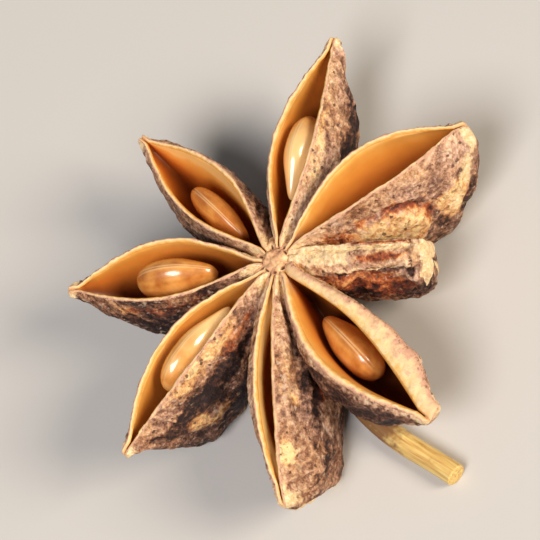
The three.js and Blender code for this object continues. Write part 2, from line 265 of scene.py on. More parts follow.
def wall_side(width, depth, lip, columns, slimness):
    """One side of a wall from keel to lip, for all rings at once: x out, z up from the lip, and
    the angle round from the keel."""
    widest = np.maximum(width, lip)
    lip_angle = np.pi - np.arcsin(np.minimum(1, lip / widest) ** (1 / slimness))
    angle = lip_angle[:, None] * np.linspace(0, 1, columns)[None, :]
    share_down = (np.cos(angle) - np.cos(lip_angle)[:, None]) / (1 - np.cos(lip_angle))[:, None]
    x = widest[:, None] * np.abs(np.sin(angle)) ** slimness
    x[:, -1] = lip
    return x, -depth[:, None] * share_down, angle


def noise_over(along, across, sizes, seed, draw=noise.noise):
    """Smooth noise from -1 to 1 over a grid of points, its waves' sizes given along and across."""
    waves_along = np.broadcast_to(along / sizes[0], across.shape).ravel().tolist()
    waves_across = (across / sizes[1]).ravel().tolist()
    drawn = [draw(Vector((first, second, seed))) for first, second in zip(waves_along, waves_across)]
    return np.array(drawn).reshape(across.shape)


def ridges_over(along, across, sizes, seed, octaves):
    """Sharp branching ridges over a grid of points, as dried skin creases."""
    def ridges(spot):
        return noise.ridged_multi_fractal(spot, 0.9, 2.1, octaves, 0.9, 2.0)

    return noise_over(along, across, sizes, seed, ridges)


def skin_side(number, boat, side, station, out, depth, width, gape):
    """One side of the rind from keel to lip, with its swellings, keel ribbon and ledge, and the painted
    shadow under the ledge.
    """
    seed = 10.0 * number + 3.0 * side
    rim = boat["rim_right"] if side == RIGHT else boat["rim_left"]
    lip = gape + rim_width(rim, station) + rim_knob(boat, rim, station)
    x, z, angle = wall_side(width, depth, lip, SKIN_COLUMNS, boat["slimness"])
    low = -z / depth[:, None]
    x += (np.minimum(x, lip[:, None]) - x) * ease(0.6, 0, low) * boat["pinch"]
    swell = broad_wrinkle(boat, station[:, None], side * angle) * ease(0, 0.1, station)[:, None]
    swell = swell * np.sin(np.pi * np.linspace(0.14, 1, SKIN_COLUMNS))[None, :]
    x += swell * np.sin(angle)
    z -= swell * np.maximum(0, np.cos(angle))
    # A dried keel stands up as a thin uneven ribbon towards the beak.
    one_line = np.zeros(len(station))
    uneven = noise_over(out, one_line, (0.5, 1), seed + 0.9)
    ribbon = RIBBON_HEIGHT * boat["ribbon"] * ease(0.5, 0.75, station) * (1 + 0.7 * uneven)
    z -= ribbon[:, None] * hill(angle, 0, 0.16)
    # The upper part of a shrivelled wall hangs over the lower part in a ragged ledge.
    hang = 0.09 + 0.05 * noise_over(out, one_line, (1.4, 1), seed + 0.4)
    hang = hang + 0.04 * noise_over(out, one_line, (0.5, 1), seed + 0.6)
    under = low - hang[:, None]
    reach = boat["ledge"] * (ease(0.35, 0.5, station) * ease(0.9, 0.84, station))[:, None]
    x -= reach * ease(0, 0.03, under) * ease(1, 0.6, low)
    # Painted shadow below the ledge, and a pale line along its edge.
    shade = ease(0.0, 0.02, under) * ease(0.2, 0.05, under) - hill(under, -0.02, 0.02)
    return x, z, side * angle, np.sign(reach) * shade


def lining_sides(boat, station, depth, width, gape):
    """The lining from its bottom to the lip: x on the right, x on the left, z and girth."""
    wall = np.minimum(WALL, 0.45 * width)
    opened = ease(0, 0.08, station) * ease(1, 0.94, station)
    if boat["hollow"]:
        lining_depth = np.maximum(depth - 1.3 * wall, 0.25 * depth) * opened
        lining_width = gape + np.maximum(width - wall - gape, 0) * opened
    else:
        lining_depth = 0.1 * opened
        lining_width = gape
    lining_depth = np.maximum(lining_depth, LEAST_LINING_DEPTH)
    x, z, girth = wall_side(lining_width, lining_depth, gape, LINING_COLUMNS, boat["slimness"])
    # Some right walls are thick below the lip, so the lining slopes down from it like a shelf, or
    # like one side of a V.
    straight = gape[:, None] * (1 + z / lining_depth[:, None])
    right_x = x + (np.minimum(straight, x) - x) * boat["vee"] * opened[:, None]
    shelf = boat["shelf"] * ease(0, -0.9, z) * ease(-3.2, -1.2, z)
    shelf = shelf * ease(0.02, 0.15, station)[:, None]
    right_x = np.maximum(right_x - shelf, np.minimum(right_x, 0.03))
    return right_x, x, z - LINING_DROP, girth


def torn_edge(x, z, gape, inner_z):
    """The broken edge between one side of the rind and the lining: x out, and z up."""
    inner_lip = inner_z[:, -1:]
    breadth = x[:, -1:] - gape[:, None]
    crown = np.clip(0.35 * breadth, 0, RIM_CROWN) * np.sin(np.pi * RIM_SHARES)[None, :] ** 0.8
    return gape[:, None] + breadth * RIM_SHARES, inner_lip + (z[:, -1:] - inner_lip) * RIM_SHARES + crown


def join_strips(strips):
    """Whole rings, from strips that are each x, z, girth, shade, rim share, finish and cut."""
    *grids, shares, kinds, cuts = zip(*strips)
    grids.append([np.broadcast_to(share, grid.shape) for share, grid in zip(shares, grids[0])])
    grids.append([np.full(grid.shape, kind) for kind, grid in zip(kinds, grids[0])])
    return [np.concatenate([part[:, cut] for part, cut in zip(grid, cuts)], axis=1) for grid in grids]


def dry_out(number, boat, station, out, x, z):
    """Moves the points of whole rings as drying did: lips tear, boats lean, and beaks lift."""
    # Lips tear unevenly, and a shut boat's crest is scalloped.
    torn = (ease(0.02, 0.12, station) * ease(1.0, 0.92, station))[:, None]
    torn = torn * (1.0 if boat["hollow"] else 1.7)
    tears = noise_over(out[:, None], x, (1.1, 0.9), 7.0 * number + 0.3) * ease(-1.2, 0, z)
    nicks = noise_over(out[:, None], x, (0.35, 0.25), 7.0 * number + 0.8) * ease(-0.4, 0, z)
    z = z + torn * (TEARS * tears + NICKS * nicks)
    # A boat leans a little, so its keel isn't quite below its mouth.
    x = x + lean_at(boat, station)[:, None] * z
    # A shut boat slumps: its crest moves to the left, and its right flank slopes away from it.
    slump = boat["slump"] * ease(-2.2, 0, z)
    z = z - slump * ease(-0.3, 1.3, x) * 1.2
    x = x - slump
    # The roots round off against the column, and beaks lift at their tips.
    z = z - ROOT_DROP * ease(0.035, 0, station)[:, None] * ease(-1.5, 0, z)
    z = z + boat["hook"] * ease(0.9, 1, station)[:, None] ** 2
    return x, z


def in_frame(boat, out, left, up):
    """Points of the frame that lie so far out along a boat from the axis, left of it, and up."""
    azimuth = math.radians(boat["azimuth"])
    outward = np.array([math.cos(azimuth), math.sin(azimuth), 0])
    leftward = np.array([-math.sin(azimuth), math.cos(azimuth), 0])
    upward = np.array([0, 0, 1.0])
    return (
        out[..., None] * outward + left[..., None] * leftward + up[..., None] * upward
        + np.array([AXIS_X, AXIS_Y, 0]))


def boat_rings(number, boat):
    """The boat's rings in the frame's millimetres, and what each point is for its material."""
    # Rings stand closer together towards the beak, and more of them close each end to a point.
    spaced = 1 - (1 - np.linspace(0, 1, ROWS)) ** 1.25
    closing = np.linspace(0, 1, END_ROWS + 1)
    station = np.concatenate([np.zeros(END_ROWS), spaced, np.ones(END_ROWS)])
    shrink = np.concatenate([closing[:-1], np.ones(ROWS), np.cos(np.pi / 2 * closing[1:])])
    past_beak = TIP_LENGTH * np.sin(np.pi / 2 * closing[1:])
    beyond = np.concatenate([np.zeros(END_ROWS + ROWS), past_beak])

    out, aside, up = lip_line(boat, station)
    gape = half_gape(boat, station)
    depth = up - keel_height(boat, station)
    width = np.maximum(half_width(boat, station), gape + FLANK)
    (right_x, right_z, right_girth, right_shade), (left_x, left_z, left_girth, left_shade) = (
        skin_side(number, boat, side, station, out, depth, width, gape) for side in (RIGHT, LEFT))
    inner_right_x, inner_left_x, inner_z, inner_girth = lining_sides(boat, station, depth, width, gape)
    right_edge_x, right_edge_z = torn_edge(right_x, right_z, gape, inner_z)
    left_edge_x, left_edge_z = torn_edge(left_x, left_z, gape, inner_z)
    # A broad rim is cream nearly all across, with its gold only along the mouth.
    mostly_cream = 0.3 + 0.45 * RIM_SHARES + 0.25 * RIM_SHARES ** 4
    right_share, left_share = (
        mostly_cream if boat["hollow"] and boat[rim] > BROAD_RIM else RIM_SHARES
        for rim in ("rim_right", "rim_left"))

    # Strips run round a ring from the lining's bottom: up its right, over the right rim, down
    # the right of the rind, up its left, over the left rim and down the left of the lining. Each
    # is cut to the columns that it adds, in their order.
    flat = np.zeros((len(station), RIM_COLUMNS))
    dark = np.zeros(inner_z.shape)
    whole, back, after_first, back_to_second = (
        slice(None), slice(None, None, -1), slice(1, None), slice(None, 0, -1))
    rim_kind, lining_kind = (RIM, LINING) if boat["hollow"] else (SKIN, SKIN)
    strips = [
        (inner_right_x, inner_z, inner_girth, dark, 0.0, lining_kind, whole),
        (right_edge_x, right_edge_z, flat + np.pi, flat, right_share, rim_kind, whole),
        (right_x, right_z, right_girth, right_shade, 1.0, SKIN, back),
        (-left_x, left_z, left_girth, left_shade, 1.0, SKIN, after_first),
        (-left_edge_x, left_edge_z, flat - np.pi, flat, left_share, rim_kind, back),
        (-inner_left_x, inner_z, -inner_girth, dark, 0.0, lining_kind, back_to_second),
    ]
    x, z, girth, shade, rim_share, kind = join_strips(strips)
    below_lip = np.clip(-z / np.maximum(depth, 0.5)[:, None], 0, 1)
    x, z = dry_out(number, boat, station, out, x, z)
    z = -depth[:, None] * 0.5 * (1 - shrink[:, None]) + z * shrink[:, None]
    x = x * shrink[:, None]

    # How far each point lies round its ring from the keel, for patterns that follow the surface.
    step = np.hypot(np.diff(x, axis=1), np.diff(z, axis=1))
    around = np.concatenate([np.zeros((len(station), 1)), np.cumsum(step, axis=1)], 1)
    around = around - around[:, KEEL_COLUMN:KEEL_COLUMN + 1]
    points = in_frame(boat, (out + beyond)[:, None], aside[:, None] - x, up[:, None] + z)
    return points, dict(
        kind=kind[:1], girth=girth, around=around, share=rim_share, low=below_lip, shade=shade,
        station=station[:, None], out=out[:, None])


def surface_normals(points):
    """Outward normals of a grid of rings that close on themselves."""
    along = np.gradient(points, axis=0)
    around = (np.roll(points, -1, axis=1) - np.roll(points, 1, axis=1)) / 2
    normal = np.cross(around, along)
    length = np.linalg.norm(normal, axis=2, keepdims=True)
    return normal / np.maximum(length, 1e-9)


def rind_relief(number, boat, ring):
    """Height of the dried rind's relief, and its creases from about -1 to 1 for the painted shade in them
    and the painted light on their crests.
    """
    along, station = ring["out"], ring["station"]
    columns = np.nonzero(ring["kind"][0] != LINING)[0]
    across, low = ring["around"][:, columns], ring["low"][:, columns]
    creases = (
        ridges_over(along, across, (2.8, 1.3), 3.1 * number, 4)
        + 0.42 * ridges_over(along, across, (0.95, 0.55), 5.7 * number + 40, 3)
        + 0.35 * noise_over(along, across, (0.42, 0.36), 1.7 * number))
    creases = np.clip((creases - creases.mean()) / (2 * creases.std()), -1, 1)
    waver = noise_over(along, across, (3.0, 1.5), 2.3 * number + 9)
    folds = np.sin(2 * np.pi * (low * 4.5 + 0.5 * waver)) * ease(0.55, 0.3, low) * ease(0.0, 0.06, low)
    folds = folds * ease(boat["folds_end"] + 0.12, boat["folds_end"] - 0.12, station)
    # Creases are shallower on the broken edge and near the lip, and fade at both ends.
    firm = np.where(ring["kind"][:, columns] == RIM, 0.55, 1.0)
    near_lip = 0.4 + 0.6 * ease(0, 0.2, low)
    ends = ease(0, 0.08, station) * ease(1.001, 0.97, station)
    height = np.zeros(ring["girth"].shape)
    height[:, columns] = ends * firm * (
        CREASE_RELIEF * boat["shrivel"] * creases * near_lip + FOLD_RELIEF * boat["folds"] * folds)
    crease = np.zeros(ring["girth"].shape)
    crease[:, columns] = creases + 0.35 * boat["folds"] * folds
    return height, crease


def raise_bulges(boat, ring, height, crease):
    """Adds the smooth bulges of a wall, each with a crease round it, and says where that runs."""
    on_skin = ring["kind"] == SKIN
    edges = np.zeros(height.shape)
    for side, station, place_down, length, drop, out_by in boat["bulges"]:
        middle = ROOT_RADIUS + (boat["reach"] - ROOT_RADIUS) * station
        past_middle = (ring["out"] - middle) / length
        apart = np.hypot(past_middle, (ring["low"] - place_down) / drop)
        here = on_skin * (np.sign(ring["girth"]) == side)
        height = height + here * out_by * np.clip(1 - apart ** 2, 0, 1) ** 0.45
        # The crease is deepest on the beak's side and fades below the bulge.
        upper = ease(place_down + 0.2, place_down, ring["low"] + 0.03 * crease)
        dent = here * hill(apart, 1.09, 0.08) * (0.4 + 0.6 * ease(-0.3, 0.5, past_middle))
        dent = dent * (0.15 + 0.85 * upper)
        height = height - BULGE_CREASE * dent
        edges = edges + here * hill(apart, 1.05, 0.16) * upper
        crease = crease * (1 - 0.7 * here * (apart < 1)) - 2.2 * dent
    return height, crease, edges


def end_plate(boat, ring, crease):
    """The thin plate at a shut boat's end: where it is, its chipped edge, and the painted shadow by it.
    """
    on_skin = (ring["kind"] == SKIN) * np.sign(boat["flange"])
    placed = ring["station"] + 0.06 * ring["low"] + 0.006 * crease
    plate = ease(0.915, 0.93, placed) * ease(0.66, 0.6, ring["low"] + 0.03 * crease) * on_skin
    shade = ease(0.85, 0.91, placed) * ease(0.62, 0.3, ring["low"]) * on_skin - plate
    edge = plate * ease(0.975, 0.99, placed + 0.006 * crease)
    return plate, edge, 0.45 * shade


def stain_field(boat, wanted, ring):
    """How strongly one kind of stain lies on each point of a boat's rind, from 0 to 1 or so."""
    field = np.zeros(ring["girth"].shape)
    for kind, side, station, place_down, length, height, strength in boat["stains"]:
        if kind == wanted:
            middle = ROOT_RADIUS + (boat["reach"] - ROOT_RADIUS) * station
            spot = hill(ring["out"], middle, length) * hill(ring["low"], place_down, height)
            field = np.maximum(field, strength * spot * (np.sign(ring["girth"]) == side))
    return field


def linear(hex_colour):
    """A colour written as sRGB hex, as the linear values that shaders take."""
    channels = [int(hex_colour[i:i + 2], 16) / 255 for i in (1, 3, 5)]
    return tuple(c / 12.92 if c <= 0.04045 else ((c + 0.055) / 1.055) ** 2.4 for c in channels) + (1.0,)


def new_material(name, constants):
    """A material of one Principled shader, given the values that are the same all over it."""
    material = bpy.data.materials.new(name)
    material.use_nodes = True
    tree = material.node_tree
    tree.nodes.clear()
    output = tree.nodes.new("ShaderNodeOutputMaterial")
    shader = tree.nodes.new("ShaderNodeBsdfPrincipled")
    tree.links.new(shader.outputs[0], output.inputs[0])
    for socket, value in constants.items():
        shader.inputs[socket].default_value = value
    return material, tree, shader


def add_node(tree, kind, inputs, output=0, stops=(), **settings):
    """Adds one node with its settings and gives one of its outputs. Its inputs, by name or in
    order, are values or links, and a ramp's stops are each a place and an sRGB hex colour."""
    node = tree.nodes.new("ShaderNode" + kind)
    for name, value in settings.items():
        setattr(node, name, value)
    for socket, value in inputs.items() if isinstance(inputs, dict) else enumerate(inputs):
        if isinstance(value, bpy.types.NodeSocket):
            tree.links.new(value, node.inputs[socket])
        else:
            node.inputs[socket].default_value = value
    for place, colour in stops[2:]:
        node.color_ramp.elements.new(place)
    for number, (place, colour) in enumerate(stops):
        node.color_ramp.elements[number].position = place
        node.color_ramp.elements[number].color = linear(colour)
    return node.outputs[output]


def per_metre(size_mm):
    """A texture's scale, on coordinates in metres, for features of a size in millimetres."""
    return 1000 / size_mm


def rind_material():
    # Dried rind: a leathery fruit wall dried to hard, cork-like skin. It scatters light like bark:
    # mauve-brown granular skin, tan and lighter near the lips and darker towards the keel, ochre and
    # rust where the outer skin has come off, and charred in patches. Painted shade lies in its creases
    # and folds, under ledges, beside end plates and round bulges, and a little painted light lies on
    # the crests of its wrinkles.
    material, tree, shader = new_material("dried_rind", {"IOR": 1.45})
    place = add_node(tree, "TexCoord", {}, "Object")
    low, crease, tone, *stains = (
        add_node(tree, "Attribute", {}, "Fac", attribute_name=name)
        for name in ("below_lip", "crease", "tone", "ochre", "rust", "char_and_shade", "pale"))
    clouds, patches, grain, pits, rags = (
        add_node(tree, "TexNoise", {
            "Vector": place, "Scale": per_metre(size), "Detail": detail, "Roughness": roughness})
        for size, detail, roughness in (
            (3.0, 3.0, 0.5), (1.3, 4.0, 0.55), (0.32, 3.0, 0.7), (0.5, 2.0, 0.6), (1.1, 6.0, 0.65)))
    # A MapRange node takes a value, two ends, and what these become. A Math node adds its values.
    ragged = add_node(tree, "MapRange", [rags, 0.3, 0.7, -0.4, 0.4])
    ochre, rust, char_and_shade, pale = (
        add_node(tree, "MapRange", [add_node(tree, "Math", [stain, ragged]), start, 0.6, 0.0, most])
        for stain, (start, most) in zip(stains, ((0.25, 1.0), (0.25, 1.0), (0.25, 1.0), (0.28, 0.95))))
    # Lightness: patches and grain, lighter near the lip and darker towards the keel, painted shade in the
    # creases and painted light on their crests, darker with char and painted shade, lighter with rust and
    # ochre.
    lightness = tone
    for change in (
            [patches, 0.3, 0.7, 0.43, 0.57], [grain, 0.3, 0.7, -0.12, 0.12],
            [low, 0.0, 0.25, 0.04, 0.0], [low, 0.3, 1.0, 0.0, -0.13], [crease, -1.0, 1.0, -0.08, 0.05],
            [char_and_shade, 0.0, 1.0, 0.0, -0.2], [rust, 0.0, 1.0, 0.0, 0.06], [ochre, 0.0, 1.0, 0.0, 0.13]):
        lightness = add_node(tree, "Math", [lightness, add_node(tree, "MapRange", change)])
    mauve = add_node(tree, "ValToRGB", [lightness], stops=[
        (0.27, "#220e0a"), (0.36, "#4c2e21"), (0.44, "#795441"), (0.52, "#a0775f"),
        (0.6, "#c6997c"), (0.72, "#ebcaa8")])
    tan = add_node(tree, "ValToRGB", [lightness], stops=[
        (0.27, "#23140e"), (0.36, "#5b3620"), (0.44, "#935c35"), (0.52, "#b98150"),
        (0.6, "#d8a266"), (0.72, "#f3d294")])
    rusty = add_node(tree, "ValToRGB", [lightness], stops=[
        (0.28, "#240c08"), (0.38, "#5c2512"), (0.48, "#8f421d"), (0.58, "#b86431"), (0.7, "#dc9a5c")])
    cream = add_node(tree, "ValToRGB", [grain], stops=[
        (0.3, "#cfa878"), (0.5, "#edca94"), (0.66, "#f7e2b8")])
    warm = ochre
    for change in ([clouds, 0.42, 0.6, 0.0, 0.4], [low, 0.0, 0.2, 0.25, 0.0]):
        warm = add_node(tree, "Math", [warm, add_node(tree, "MapRange", change)])
    # Dark pinholes are the middles of warped cells, each with a size of its own.
    warp = add_node(tree, "TexNoise", {"Vector": place, "Scale": per_metre(0.3), "Detail": 2.0}, "Color")
    warped = add_node(tree, "VectorMath", [warp, (0.3 * MM,) * 3, place], operation="MULTIPLY_ADD")
    distance = add_node(tree, "TexVoronoi", {"Vector": warped, "Scale": per_metre(0.5)}, "Distance")
    size = add_node(tree, "MapRange", [distance.node.outputs["Color"], 0.35, 0.75, 0.0, 0.3])
    away = add_node(tree, "MapRange", [distance, 0.0, 1.0, 0.0, -1.0])
    pinholes = add_node(tree, "Math", [size, away])
    chips = add_node(tree, "Math", [pits, add_node(tree, "MapRange", [char_and_shade, 0.0, 1.0, 0.0, 0.2])])
    colour = mauve
    for share, layer in (
            (warm, tan), (rust, rusty),
            (add_node(tree, "MapRange", [pits, 0.57, 0.66, 0.0, 0.5]), linear("#47291f")),
            (add_node(tree, "MapRange", [pinholes, 0.0, 0.06, 0.0, 0.8]), linear("#47291f")),
            (add_node(tree, "MapRange", [chips, 0.42, 0.32, 0.0, 0.5]), linear("#dfc0a2")),
            (pale, cream)):
        # A Mix node's inputs 6 and 7 and its output 2 are colours.
        colour = add_node(tree, "Mix", {0: share, 6: colour, 7: layer}, 2, data_type="RGBA")
    tree.links.new(colour, shader.inputs["Base Color"])
    dull = add_node(tree, "MapRange", [patches, 0.3, 0.7, 0.6, 0.85])
    tree.links.new(dull, shader.inputs["Roughness"])
    grit = add_node(tree, "MapRange", [grain, 0.3, 0.7, 0.0, 0.5])
    height = add_node(tree, "Math", [grit, add_node(tree, "MapRange", [pinholes, 0.0, 0.06, 0.3, 0.0])])
    bump = add_node(tree, "Bump", {"Height": height, "Strength": 0.8, "Distance": 0.15 * MM})
    tree.links.new(bump, shader.inputs["Normal"])
    return material


def edge_material():
    # Broken edge: the torn, woody middle of the wall. The lining's gold runs up onto it, then
    # comes a thin line of pale cream wood, and then the rind's tan, dry and specked.
    material, tree, shader = new_material("broken_edge", {"Roughness": 0.6, "IOR": 1.45})
    place = add_node(tree, "TexCoord", {}, "Object")
    across, pale = (
        add_node(tree, "Attribute", {}, "Fac", attribute_name=name) for name in ("rim_share", "pale"))
    fibres, grain = (
        add_node(tree, "TexNoise", {
            "Vector": place, "Scale": per_metre(size), "Detail": detail, "Roughness": roughness})
        for size, detail, roughness in ((0.7, 5.0, 0.7), (0.26, 3.0, 0.75)))
    frayed = add_node(tree, "Math", [across, add_node(tree, "MapRange", [fibres, 0.3, 0.7, -0.2, 0.2])])
    wood = add_node(tree, "ValToRGB", [frayed], stops=[
        (0.06, "#dc9a45"), (0.3, "#e9b86d"), (0.45, "#f1d097"), (0.7, "#e6ba8c"), (0.9, "#c08f6f")])
    outwards = add_node(tree, "MapRange", [frayed, 0.45, 0.75, -0.2, 0.0])
    mottled = add_node(tree, "Math", [fibres, outwards])
    further = add_node(tree, "MapRange", [frayed, 0.5, 0.9, 0.2, 0.0])
    specked = add_node(tree, "Math", [grain, further])
    for change, layer in (
            ([pale, 0.1, 0.7, 0.0, 0.5], "#e0b283"), ([mottled, 0.42, 0.56, 0.0, 0.6], "#d69f80"),
            ([specked, 0.38, 0.48, 0.75, 0.0], "#6a473b")):
        share = add_node(tree, "MapRange", change)
        wood = add_node(tree, "Mix", {0: share, 6: wood, 7: linear(layer)}, 2, data_type="RGBA")
    tree.links.new(wood, shader.inputs["Base Color"])
    bump = add_node(tree, "Bump", {"Height": fibres, "Strength": 0.5, "Distance": 0.1 * MM})
    tree.links.new(bump, shader.inputs["Normal"])
    return material


def lining_material():
    # Lining: the smooth inner skin of the fruit, like polished horn or thin wood veneer. It has a
    # satin gloss. Its colour paints light and shade: golden near the lip, where light reaches it, and
    # deep orange-brown as painted shade towards the bottom.
    material, tree, shader = new_material("satin_lining", {"Roughness": 0.42, "IOR": 1.5})
    place = add_node(tree, "TexCoord", {}, "Object")
    low, lining_shade, pale = (
        add_node(tree, "Attribute", {}, "Fac", attribute_name=name)
        for name in ("below_lip", "lining_shade", "pale"))
    clouds = add_node(tree, "TexNoise", {
        "Vector": place, "Scale": per_metre(2.5), "Detail": 3.0, "Roughness": 0.5})
    uneven = add_node(tree, "MapRange", [clouds, 0.3, 0.7, -0.06, 0.06])
    # Painted light and shade: lighter near the lip, darker deeper down and with the boat's lining shade.
    depth = add_node(tree, "Math", [add_node(tree, "Math", [low, lining_shade]), uneven])
    gold = add_node(tree, "ValToRGB", [depth], stops=[
        (0.0, "#fcca7a"), (0.06, "#f4b154"), (0.2, "#de8e38"), (0.4, "#c26c26"), (0.8, "#713813")])
    peach = add_node(tree, "MapRange", [pale, 0.1, 0.8, 0.0, 1.0])
    colour = add_node(tree, "Mix", {0: peach, 6: gold, 7: linear("#dcab78")}, 2, data_type="RGBA")
    tree.links.new(colour, shader.inputs["Base Color"])
    return material


def place_points(piece, points):
    """Moves a piece's vertices to new places in the frame, in metres."""
    piece.data.vertices.foreach_set("co", points.reshape(-1).astype(np.float32))


def mark_points(piece, name, values):
    """Stores one number for each point of a piece, for its material to read."""
    attribute = piece.data.attributes.new(name, "FLOAT", "POINT")
    attribute.data.foreach_set("value", values.reshape(-1).astype(np.float32))


def with_seam(grid):
    """A grid of rings whose first column comes again at its end, where the seam is merged."""
    return np.concatenate([grid, grid[:, :1]], axis=1)


def close_and_smooth(piece):
    """Merges the seam and the poles, turns the faces outwards and shades the piece smooth."""
    bpy.ops.object.mode_set(mode="EDIT")
    bpy.ops.mesh.select_all(action="SELECT")
    bpy.ops.mesh.remove_doubles(threshold=1e-7)
    bpy.ops.mesh.normals_make_consistent(inside=False)
    bpy.ops.object.mode_set(mode="OBJECT")
    bpy.ops.object.shade_smooth()
    piece.select_set(False)


boat_finishes = [rind_material(), edge_material(), lining_material()]
for number, (name, sizes) in enumerate(BOATS.items()):
    boat = {**USUAL_BOAT, **sizes}
    points, ring = boat_rings(number, boat)
    height, crease = rind_relief(number, boat, ring)
    height, crease, bulge_edges = raise_bulges(boat, ring, height, crease)
    plate, plate_edge, plate_shade = end_plate(boat, ring, crease)
    height = height + boat["flange"] * plate
    points = points + surface_normals(points) * height[:, :, None]
    # A keel that reaches the ground is worn flat there.
    points[:, :, 2] = np.maximum(points[:, :, 2], 0.0)

    low, station, share = ring["low"], ring["station"], ring["share"]
    ribbon = hill(ring["girth"], 0, 0.3) * ease(0.6, 0.85, station) * min(boat["ribbon"], 1.0)
    beak = 0.9 * ease(0.93, 1.0, station) * ease(0.8, 0.3, low) * (1 if boat["hollow"] else 0.3)
    root = 0.9 * ease(0.17, 0.05, station) * ease(0.4, 0.1, low)
    # A shut boat's crest is cream near the column; further out a brown groove is painted along it, brown
    # with painted shade as in a valley.
    shut = 0.0 if boat["hollow"] else 1.0
    near_column = 0.75 * ease(0.54, 0.42, station) * ease(1, 0.8, share)
    crest = shut * np.maximum(0.85 * ease(0.4, 0.0, share), near_column)
    painted_groove = shut * hill(share, 0.65, 0.25) * ease(0.42, 0.54, station) * ease(0.95, 0.85, station)
    pale = [
        np.where(ring["kind"] == SKIN, ribbon, 0), beak, root, plate_edge, crest, -0.8 * ring["shade"],
        stain_field(boat, "pale", ring)]
    rust = [stain_field(boat, "rust", ring), 0.6 * bulge_edges, 0.8 * painted_groove]
    # Dark: charred stains, with painted shade under the ledge, beside the end plate, round bulges, in the
    # painted groove and in the deepest creases.
    char_and_shade = [
        stain_field(boat, "char_and_shade", ring), 1.3 * ring["shade"], plate_shade, 0.4 * bulge_edges,
        0.55 * painted_groove, -0.35 * crease - 0.35]
    tone = boat["tone"] + 0.08 * ease(0.25, 0.1, station) + 0.05 * ease(0.7, 0.92, station)
    marks = {
        "crease": crease, "below_lip": low, "rim_share": share, "pale": np.maximum.reduce(pale),
        "tone": np.broadcast_to(tone, low.shape),
        "lining_shade": np.full(low.shape, boat["lining_shade"]),
        "ochre": stain_field(boat, "ochre", ring), "rust": np.maximum.reduce(rust),
        "char_and_shade": np.maximum.reduce(char_and_shade)}

    rows, columns = low.shape
    bpy.ops.mesh.primitive_grid_add(x_subdivisions=columns, y_subdivisions=rows - 1, size=1)
    piece = bpy.context.object
    piece.name = piece.data.name = "boat_" + name
    place_points(piece, with_seam(points) * MM)
    for mark, values in marks.items():
        mark_points(piece, mark, with_seam(values))
    for finish in boat_finishes:
        piece.data.materials.append(finish)
    # A face takes its finish from the two columns of points that it joins.
    kind = ring["kind"][0]
    face_kind = np.where(kind == np.roll(kind, -1), kind, RIM)
    piece.data.polygons.foreach_set("material_index", np.tile(face_kind, rows - 1).astype(np.int32))
    close_and_smooth(piece)
    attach(piece, "root")
    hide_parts("husk")

# ---- The seeds ----
# Five hard, flattened seeds that still lie on edge in their boats. The coat is glossy amber
# caramel, with two fine pale ridges along its upper edge and a dull scar at the column's end. Two
# of them are sharper there and cream towards that end, partly a paler coat and partly painted
# glare. Each is painted darker and redder on its underside, as shade.

# What a seed has unless it says otherwise. Each also has its station, how far its middle lies
# below the mouth, and its tone. The darker tones of the north and south seeds are painted shade,
# as they lie deeper in shadow.
USUAL_SEED = dict(
    aside=0.0,  # of its middle, to the left of the mouth's
    scale=1.0,  # share of the usual size
    long=1.0,  # share of the usual length
    thick=1.0,  # share of the usual thickness
    sharp=False,  # more tapered, with hardly a scar
    cream_and_glare=-2.0)  # place along the seed, from -1 to 1, up to which it is cream, partly as painted glare
SEEDS = {
    "north_east": dict(
        station=0.465, down=2.0, aside=0.1, scale=0.98, long=1.03, tone=-0.02, sharp=True, cream_and_glare=0.5),
    "north": dict(station=0.42, down=2.1, aside=0.34, scale=0.92, long=1.06, thick=0.84, tone=-0.24),
    "north_west": dict(station=0.47, down=1.75, aside=-0.1, scale=1.03, long=0.96, tone=-0.06),
    "west": dict(station=0.455, down=1.7, scale=0.95, long=1.22, tone=0.04, sharp=True, cream_and_glare=-0.1),
    "south": dict(station=0.44, down=2.8, aside=0.5, tone=-0.12),
}
SEED_LENGTH, SEED_HEIGHT, SEED_THICKNESS = 3.15, 1.85, 1.3  # half sizes
SEED_EGG = 0.08  # how much fuller it is towards the beak
SEED_BLUNT, SEED_POINTED = 2.6, 1.9  # powers that round its two ends, at the beak and the column
SEED_TAPER = 0.2  # share by which it thins towards the column
SEED_RIDGE_PLACE, SEED_RIDGE_SPREAD = 0.08, 0.052  # shares of the half thickness
SEED_RIDGE_HEIGHT = 0.025
SEED_UNEVEN = 0.012  # share by which it swells and shrinks
CREAM_AND_GLARE_STRENGTH = 0.65  # strength of the cream, which is partly painted glare


